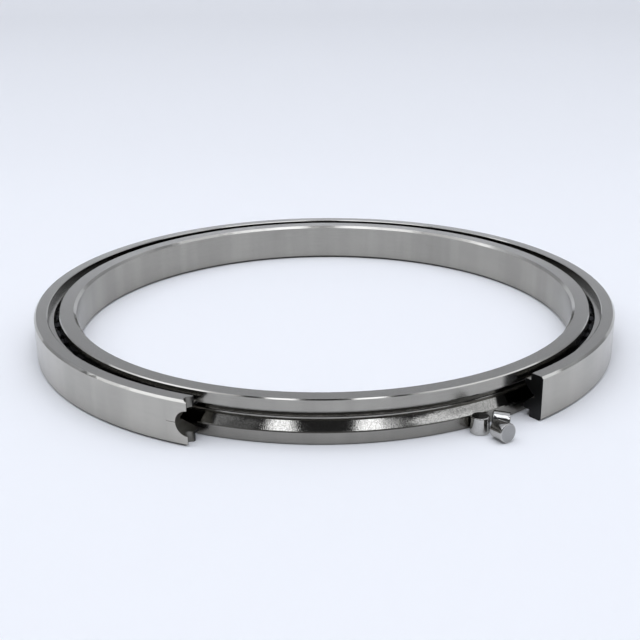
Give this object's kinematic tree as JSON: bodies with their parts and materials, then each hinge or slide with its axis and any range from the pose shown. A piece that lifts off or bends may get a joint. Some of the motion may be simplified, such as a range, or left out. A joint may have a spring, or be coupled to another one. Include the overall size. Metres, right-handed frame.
{
  "type": "thin-section bearing",
  "caption": "Thin-section crossed roller bearing with a front sector of its outer ring cut away to show the V raceway, and loose tapered rollers standing and lying beside it.",
  "frame": {"origin": "on the bearing axis at mid width", "axes": "+Z along the bearing axis, -Y through the cut-away sector of the outer ring"},
  "size_m": [0.186, 0.1791, 0.013],
  "materials": {
    "ring_steel": "ground",
    "roller_steel": "polished",
    "separator_plastic": "moulded"
  },
  "bodies": {
    "outer_race": {"outer_ring": "ring_steel", "loose_roller_standing": "roller_steel", "loose_roller_rear": "roller_steel", "loose_roller_front": "roller_steel"},
    "inner_race": {"inner_ring": "ring_steel"},
    "roller_train": {"separators": "separator_plastic"},
    "roller_01_body": {"roller_01": "roller_steel"},
    "roller_02_body": {"roller_02": "roller_steel"},
    "roller_03_body": {"roller_03": "roller_steel"},
    "roller_04_body": {"roller_04": "roller_steel"},
    "roller_05_body": {"roller_05": "roller_steel"},
    "roller_06_body": {"roller_06": "roller_steel"},
    "roller_07_body": {"roller_07": "roller_steel"},
    "roller_08_body": {"roller_08": "roller_steel"},
    "roller_09_body": {"roller_09": "roller_steel"},
    "roller_10_body": {"roller_10": "roller_steel"},
    "roller_11_body": {"roller_11": "roller_steel"},
    "roller_12_body": {"roller_12": "roller_steel"},
    "roller_13_body": {"roller_13": "roller_steel"},
    "roller_14_body": {"roller_14": "roller_steel"},
    "roller_15_body": {"roller_15": "roller_steel"},
    "roller_16_body": {"roller_16": "roller_steel"},
    "roller_17_body": {"roller_17": "roller_steel"},
    "roller_18_body": {"roller_18": "roller_steel"},
    "roller_19_body": {"roller_19": "roller_steel"},
    "roller_20_body": {"roller_20": "roller_steel"},
    "roller_21_body": {"roller_21": "roller_steel"},
    "roller_22_body": {"roller_22": "roller_steel"},
    "roller_23_body": {"roller_23": "roller_steel"},
    "roller_24_body": {"roller_24": "roller_steel"},
    "roller_25_body": {"roller_25": "roller_steel"},
    "roller_26_body": {"roller_26": "roller_steel"},
    "roller_27_body": {"roller_27": "roller_steel"},
    "roller_28_body": {"roller_28": "roller_steel"},
    "roller_29_body": {"roller_29": "roller_steel"},
    "roller_30_body": {"roller_30": "roller_steel"},
    "roller_31_body": {"roller_31": "roller_steel"},
    "roller_32_body": {"roller_32": "roller_steel"},
    "roller_33_body": {"roller_33": "roller_steel"},
    "roller_34_body": {"roller_34": "roller_steel"},
    "roller_35_body": {"roller_35": "roller_steel"},
    "roller_36_body": {"roller_36": "roller_steel"},
    "roller_37_body": {"roller_37": "roller_steel"},
    "roller_38_body": {"roller_38": "roller_steel"},
    "roller_39_body": {"roller_39": "roller_steel"},
    "roller_40_body": {"roller_40": "roller_steel"},
    "roller_41_body": {"roller_41": "roller_steel"},
    "roller_42_body": {"roller_42": "roller_steel"},
    "roller_43_body": {"roller_43": "roller_steel"},
    "roller_44_body": {"roller_44": "roller_steel"},
    "roller_45_body": {"roller_45": "roller_steel"},
    "roller_46_body": {"roller_46": "roller_steel"},
    "roller_47_body": {"roller_47": "roller_steel"},
    "roller_48_body": {"roller_48": "roller_steel"},
    "roller_49_body": {"roller_49": "roller_steel"},
    "roller_50_body": {"roller_50": "roller_steel"},
    "roller_51_body": {"roller_51": "roller_steel"},
    "roller_52_body": {"roller_52": "roller_steel"}
  },
  "joints": [
    {"name": "inner_ring_turn", "type": "hinge", "parent": "outer_race", "child": "inner_race", "pos_m": [0, 0, 0], "axis": [0, 0, 1], "range_deg": [-35, 35]},
    {"name": "roller_train_orbit", "type": "hinge", "parent": "outer_race", "child": "roller_train", "pos_m": [0, 0, 0], "axis": [0, 0, 1], "range_deg": [-17.5, 17.5]},
    {"name": "roller_01_spin", "type": "hinge", "parent": "roller_train", "child": "roller_01_body", "pos_m": [0.07538, -0.04222, 0.00011], "axis": [0.5978, -0.3348, 0.7284], "range_deg": [-600, 600]},
    {"name": "roller_02_spin", "type": "hinge", "parent": "roller_train", "child": "roller_02_body", "pos_m": [0.07877, -0.03549, -0.00011], "axis": [0.6247, -0.2814, -0.7284], "range_deg": [-600, 600]},
    {"name": "roller_03_spin", "type": "hinge", "parent": "roller_train", "child": "roller_03_body", "pos_m": [0.08157, -0.02848, 0.00011], "axis": [0.6469, -0.2259, 0.7284], "range_deg": [-600, 600]},
    {"name": "roller_04_spin", "type": "hinge", "parent": "roller_train", "child": "roller_04_body", "pos_m": [0.08374, -0.02127, -0.00011], "axis": [0.6641, -0.1687, -0.7284], "range_deg": [-600, 600]},
    {"name": "roller_05_spin", "type": "hinge", "parent": "roller_train", "child": "roller_05_body", "pos_m": [0.08527, -0.01389, 0.00011], "axis": [0.6763, -0.1101, 0.7284], "range_deg": [-600, 600]},
    {"name": "roller_06_spin", "type": "hinge", "parent": "roller_train", "child": "roller_06_body", "pos_m": [0.08616, -0.0064, -0.00011], "axis": [0.6833, -0.0508, -0.7284], "range_deg": [-600, 600]},
    {"name": "roller_07_spin", "type": "hinge", "parent": "roller_train", "child": "roller_07_body", "pos_m": [0.08639, 0.00113, 0.00011], "axis": [0.6851, 0.009, 0.7284], "range_deg": [-600, 600]},
    {"name": "roller_08_spin", "type": "hinge", "parent": "roller_train", "child": "roller_08_body", "pos_m": [0.08596, 0.00866, -0.00011], "axis": [0.6817, 0.0686, -0.7284], "range_deg": [-600, 600]},
    {"name": "roller_09_spin", "type": "hinge", "parent": "roller_train", "child": "roller_09_body", "pos_m": [0.08488, 0.01612, 0.00011], "axis": [0.6732, 0.1278, 0.7284], "range_deg": [-600, 600]},
    {"name": "roller_10_spin", "type": "hinge", "parent": "roller_train", "child": "roller_10_body", "pos_m": [0.08315, 0.02345, -0.00011], "axis": [0.6595, 0.186, -0.7284], "range_deg": [-600, 600]},
    {"name": "roller_11_spin", "type": "hinge", "parent": "roller_train", "child": "roller_11_body", "pos_m": [0.08079, 0.03061, 0.00011], "axis": [0.6407, 0.2428, 0.7284], "range_deg": [-600, 600]},
    {"name": "roller_12_spin", "type": "hinge", "parent": "roller_train", "child": "roller_12_body", "pos_m": [0.07782, 0.03753, -0.00011], "axis": [0.6171, 0.2977, -0.7284], "range_deg": [-600, 600]},
    {"name": "roller_13_spin", "type": "hinge", "parent": "roller_train", "child": "roller_13_body", "pos_m": [0.07425, 0.04417, 0.00011], "axis": [0.5889, 0.3503, 0.7284], "range_deg": [-600, 600]},
    {"name": "roller_14_spin", "type": "hinge", "parent": "roller_train", "child": "roller_14_body", "pos_m": [0.07012, 0.05048, -0.00011], "axis": [0.5561, 0.4003, -0.7284], "range_deg": [-600, 600]},
    {"name": "roller_15_spin", "type": "hinge", "parent": "roller_train", "child": "roller_15_body", "pos_m": [0.06545, 0.0564, 0.00011], "axis": [0.5191, 0.4473, 0.7284], "range_deg": [-600, 600]},
    {"name": "roller_16_spin", "type": "hinge", "parent": "roller_train", "child": "roller_16_body", "pos_m": [0.06029, 0.06189, -0.00011], "axis": [0.4781, 0.4908, -0.7284], "range_deg": [-600, 600]},
    {"name": "roller_17_spin", "type": "hinge", "parent": "roller_train", "child": "roller_17_body", "pos_m": [0.05466, 0.06691, 0.00011], "axis": [0.4335, 0.5306, 0.7284], "range_deg": [-600, 600]},
    {"name": "roller_18_spin", "type": "hinge", "parent": "roller_train", "child": "roller_18_body", "pos_m": [0.04862, 0.07142, -0.00011], "axis": [0.3856, 0.5664, -0.7284], "range_deg": [-600, 600]},
    {"name": "roller_19_spin", "type": "hinge", "parent": "roller_train", "child": "roller_19_body", "pos_m": [0.04222, 0.07538, 0.00011], "axis": [0.3348, 0.5978, 0.7284], "range_deg": [-600, 600]},
    {"name": "roller_20_spin", "type": "hinge", "parent": "roller_train", "child": "roller_20_body", "pos_m": [0.03549, 0.07877, -0.00011], "axis": [0.2814, 0.6247, -0.7284], "range_deg": [-600, 600]},
    {"name": "roller_21_spin", "type": "hinge", "parent": "roller_train", "child": "roller_21_body", "pos_m": [0.02848, 0.08157, 0.00011], "axis": [0.2259, 0.6469, 0.7284], "range_deg": [-600, 600]},
    {"name": "roller_22_spin", "type": "hinge", "parent": "roller_train", "child": "roller_22_body", "pos_m": [0.02127, 0.08374, -0.00011], "axis": [0.1687, 0.6641, -0.7284], "range_deg": [-600, 600]},
    {"name": "roller_23_spin", "type": "hinge", "parent": "roller_train", "child": "roller_23_body", "pos_m": [0.01389, 0.08527, 0.00011], "axis": [0.1101, 0.6763, 0.7284], "range_deg": [-600, 600]},
    {"name": "roller_24_spin", "type": "hinge", "parent": "roller_train", "child": "roller_24_body", "pos_m": [0.0064, 0.08616, -0.00011], "axis": [0.0508, 0.6833, -0.7284], "range_deg": [-600, 600]},
    {"name": "roller_25_spin", "type": "hinge", "parent": "roller_train", "child": "roller_25_body", "pos_m": [-0.00113, 0.08639, 0.00011], "axis": [-0.009, 0.6851, 0.7284], "range_deg": [-600, 600]},
    {"name": "roller_26_spin", "type": "hinge", "parent": "roller_train", "child": "roller_26_body", "pos_m": [-0.00866, 0.08596, -0.00011], "axis": [-0.0686, 0.6817, -0.7284], "range_deg": [-600, 600]},
    {"name": "roller_27_spin", "type": "hinge", "parent": "roller_train", "child": "roller_27_body", "pos_m": [-0.01612, 0.08488, 0.00011], "axis": [-0.1278, 0.6732, 0.7284], "range_deg": [-600, 600]},
    {"name": "roller_28_spin", "type": "hinge", "parent": "roller_train", "child": "roller_28_body", "pos_m": [-0.02345, 0.08315, -0.00011], "axis": [-0.186, 0.6595, -0.7284], "range_deg": [-600, 600]},
    {"name": "roller_29_spin", "type": "hinge", "parent": "roller_train", "child": "roller_29_body", "pos_m": [-0.03061, 0.08079, 0.00011], "axis": [-0.2428, 0.6407, 0.7284], "range_deg": [-600, 600]},
    {"name": "roller_30_spin", "type": "hinge", "parent": "roller_train", "child": "roller_30_body", "pos_m": [-0.03753, 0.07782, -0.00011], "axis": [-0.2977, 0.6171, -0.7284], "range_deg": [-600, 600]},
    {"name": "roller_31_spin", "type": "hinge", "parent": "roller_train", "child": "roller_31_body", "pos_m": [-0.04417, 0.07425, 0.00011], "axis": [-0.3503, 0.5889, 0.7284], "range_deg": [-600, 600]},
    {"name": "roller_32_spin", "type": "hinge", "parent": "roller_train", "child": "roller_32_body", "pos_m": [-0.05048, 0.07012, -0.00011], "axis": [-0.4003, 0.5561, -0.7284], "range_deg": [-600, 600]},
    {"name": "roller_33_spin", "type": "hinge", "parent": "roller_train", "child": "roller_33_body", "pos_m": [-0.0564, 0.06545, 0.00011], "axis": [-0.4473, 0.5191, 0.7284], "range_deg": [-600, 600]},
    {"name": "roller_34_spin", "type": "hinge", "parent": "roller_train", "child": "roller_34_body", "pos_m": [-0.06189, 0.06029, -0.00011], "axis": [-0.4908, 0.4781, -0.7284], "range_deg": [-600, 600]},
    {"name": "roller_35_spin", "type": "hinge", "parent": "roller_train", "child": "roller_35_body", "pos_m": [-0.06691, 0.05466, 0.00011], "axis": [-0.5306, 0.4335, 0.7284], "range_deg": [-600, 600]},
    {"name": "roller_36_spin", "type": "hinge", "parent": "roller_train", "child": "roller_36_body", "pos_m": [-0.07142, 0.04862, -0.00011], "axis": [-0.5664, 0.3856, -0.7284], "range_deg": [-600, 600]},
    {"name": "roller_37_spin", "type": "hinge", "parent": "roller_train", "child": "roller_37_body", "pos_m": [-0.07538, 0.04222, 0.00011], "axis": [-0.5978, 0.3348, 0.7284], "range_deg": [-600, 600]},
    {"name": "roller_38_spin", "type": "hinge", "parent": "roller_train", "child": "roller_38_body", "pos_m": [-0.07877, 0.03549, -0.00011], "axis": [-0.6247, 0.2814, -0.7284], "range_deg": [-600, 600]},
    {"name": "roller_39_spin", "type": "hinge", "parent": "roller_train", "child": "roller_39_body", "pos_m": [-0.08157, 0.02848, 0.00011], "axis": [-0.6469, 0.2259, 0.7284], "range_deg": [-600, 600]},
    {"name": "roller_40_spin", "type": "hinge", "parent": "roller_train", "child": "roller_40_body", "pos_m": [-0.08374, 0.02127, -0.00011], "axis": [-0.6641, 0.1687, -0.7284], "range_deg": [-600, 600]},
    {"name": "roller_41_spin", "type": "hinge", "parent": "roller_train", "child": "roller_41_body", "pos_m": [-0.08527, 0.01389, 0.00011], "axis": [-0.6763, 0.1101, 0.7284], "range_deg": [-600, 600]},
    {"name": "roller_42_spin", "type": "hinge", "parent": "roller_train", "child": "roller_42_body", "pos_m": [-0.08616, 0.0064, -0.00011], "axis": [-0.6833, 0.0508, -0.7284], "range_deg": [-600, 600]},
    {"name": "roller_43_spin", "type": "hinge", "parent": "roller_train", "child": "roller_43_body", "pos_m": [-0.08639, -0.00113, 0.00011], "axis": [-0.6851, -0.009, 0.7284], "range_deg": [-600, 600]},
    {"name": "roller_44_spin", "type": "hinge", "parent": "roller_train", "child": "roller_44_body", "pos_m": [-0.08596, -0.00866, -0.00011], "axis": [-0.6817, -0.0686, -0.7284], "range_deg": [-600, 600]},
    {"name": "roller_45_spin", "type": "hinge", "parent": "roller_train", "child": "roller_45_body", "pos_m": [-0.08488, -0.01612, 0.00011], "axis": [-0.6732, -0.1278, 0.7284], "range_deg": [-600, 600]},
    {"name": "roller_46_spin", "type": "hinge", "parent": "roller_train", "child": "roller_46_body", "pos_m": [-0.08315, -0.02345, -0.00011], "axis": [-0.6595, -0.186, -0.7284], "range_deg": [-600, 600]},
    {"name": "roller_47_spin", "type": "hinge", "parent": "roller_train", "child": "roller_47_body", "pos_m": [-0.08079, -0.03061, 0.00011], "axis": [-0.6407, -0.2428, 0.7284], "range_deg": [-600, 600]},
    {"name": "roller_48_spin", "type": "hinge", "parent": "roller_train", "child": "roller_48_body", "pos_m": [-0.07782, -0.03753, -0.00011], "axis": [-0.6171, -0.2977, -0.7284], "range_deg": [-600, 600]},
    {"name": "roller_49_spin", "type": "hinge", "parent": "roller_train", "child": "roller_49_body", "pos_m": [-0.07425, -0.04417, 0.00011], "axis": [-0.5889, -0.3503, 0.7284], "range_deg": [-600, 600]},
    {"name": "roller_50_spin", "type": "hinge", "parent": "roller_train", "child": "roller_50_body", "pos_m": [-0.07012, -0.05048, -0.00011], "axis": [-0.5561, -0.4003, -0.7284], "range_deg": [-600, 600]},
    {"name": "roller_51_spin", "type": "hinge", "parent": "roller_train", "child": "roller_51_body", "pos_m": [-0.06545, -0.0564, 0.00011], "axis": [-0.5191, -0.4473, 0.7284], "range_deg": [-600, 600]},
    {"name": "roller_52_spin", "type": "hinge", "parent": "roller_train", "child": "roller_52_body", "pos_m": [-0.06029, -0.06189, -0.00011], "axis": [-0.4781, -0.4908, -0.7284], "range_deg": [-600, 600]}
  ],
  "couplings": [
    {"joint": "roller_train_orbit", "follows": "inner_ring_turn", "ratio": 0.4891},
    {"joint": "roller_01_spin", "follows": "inner_ring_turn", "ratio": -16.896},
    {"joint": "roller_02_spin", "follows": "inner_ring_turn", "ratio": 16.896},
    {"joint": "roller_03_spin", "follows": "inner_ring_turn", "ratio": -16.896},
    {"joint": "roller_04_spin", "follows": "inner_ring_turn", "ratio": 16.896},
    {"joint": "roller_05_spin", "follows": "inner_ring_turn", "ratio": -16.896},
    {"joint": "roller_06_spin", "follows": "inner_ring_turn", "ratio": 16.896},
    {"joint": "roller_07_spin", "follows": "inner_ring_turn", "ratio": -16.896},
    {"joint": "roller_08_spin", "follows": "inner_ring_turn", "ratio": 16.896},
    {"joint": "roller_09_spin", "follows": "inner_ring_turn", "ratio": -16.896},
    {"joint": "roller_10_spin", "follows": "inner_ring_turn", "ratio": 16.896},
    {"joint": "roller_11_spin", "follows": "inner_ring_turn", "ratio": -16.896},
    {"joint": "roller_12_spin", "follows": "inner_ring_turn", "ratio": 16.896},
    {"joint": "roller_13_spin", "follows": "inner_ring_turn", "ratio": -16.896},
    {"joint": "roller_14_spin", "follows": "inner_ring_turn", "ratio": 16.896},
    {"joint": "roller_15_spin", "follows": "inner_ring_turn", "ratio": -16.896},
    {"joint": "roller_16_spin", "follows": "inner_ring_turn", "ratio": 16.896},
    {"joint": "roller_17_spin", "follows": "inner_ring_turn", "ratio": -16.896},
    {"joint": "roller_18_spin", "follows": "inner_ring_turn", "ratio": 16.896},
    {"joint": "roller_19_spin", "follows": "inner_ring_turn", "ratio": -16.896},
    {"joint": "roller_20_spin", "follows": "inner_ring_turn", "ratio": 16.896},
    {"joint": "roller_21_spin", "follows": "inner_ring_turn", "ratio": -16.896},
    {"joint": "roller_22_spin", "follows": "inner_ring_turn", "ratio": 16.896},
    {"joint": "roller_23_spin", "follows": "inner_ring_turn", "ratio": -16.896},
    {"joint": "roller_24_spin", "follows": "inner_ring_turn", "ratio": 16.896},
    {"joint": "roller_25_spin", "follows": "inner_ring_turn", "ratio": -16.896},
    {"joint": "roller_26_spin", "follows": "inner_ring_turn", "ratio": 16.896},
    {"joint": "roller_27_spin", "follows": "inner_ring_turn", "ratio": -16.896},
    {"joint": "roller_28_spin", "follows": "inner_ring_turn", "ratio": 16.896},
    {"joint": "roller_29_spin", "follows": "inner_ring_turn", "ratio": -16.896},
    {"joint": "roller_30_spin", "follows": "inner_ring_turn", "ratio": 16.896},
    {"joint": "roller_31_spin", "follows": "inner_ring_turn", "ratio": -16.896},
    {"joint": "roller_32_spin", "follows": "inner_ring_turn", "ratio": 16.896},
    {"joint": "roller_33_spin", "follows": "inner_ring_turn", "ratio": -16.896},
    {"joint": "roller_34_spin", "follows": "inner_ring_turn", "ratio": 16.896},
    {"joint": "roller_35_spin", "follows": "inner_ring_turn", "ratio": -16.896},
    {"joint": "roller_36_spin", "follows": "inner_ring_turn", "ratio": 16.896},
    {"joint": "roller_37_spin", "follows": "inner_ring_turn", "ratio": -16.896},
    {"joint": "roller_38_spin", "follows": "inner_ring_turn", "ratio": 16.896},
    {"joint": "roller_39_spin", "follows": "inner_ring_turn", "ratio": -16.896},
    {"joint": "roller_40_spin", "follows": "inner_ring_turn", "ratio": 16.896},
    {"joint": "roller_41_spin", "follows": "inner_ring_turn", "ratio": -16.896},
    {"joint": "roller_42_spin", "follows": "inner_ring_turn", "ratio": 16.896},
    {"joint": "roller_43_spin", "follows": "inner_ring_turn", "ratio": -16.896},
    {"joint": "roller_44_spin", "follows": "inner_ring_turn", "ratio": 16.896},
    {"joint": "roller_45_spin", "follows": "inner_ring_turn", "ratio": -16.896},
    {"joint": "roller_46_spin", "follows": "inner_ring_turn", "ratio": 16.896},
    {"joint": "roller_47_spin", "follows": "inner_ring_turn", "ratio": -16.896},
    {"joint": "roller_48_spin", "follows": "inner_ring_turn", "ratio": 16.896},
    {"joint": "roller_49_spin", "follows": "inner_ring_turn", "ratio": -16.896},
    {"joint": "roller_50_spin", "follows": "inner_ring_turn", "ratio": 16.896},
    {"joint": "roller_51_spin", "follows": "inner_ring_turn", "ratio": -16.896},
    {"joint": "roller_52_spin", "follows": "inner_ring_turn", "ratio": 16.896}
  ]
}
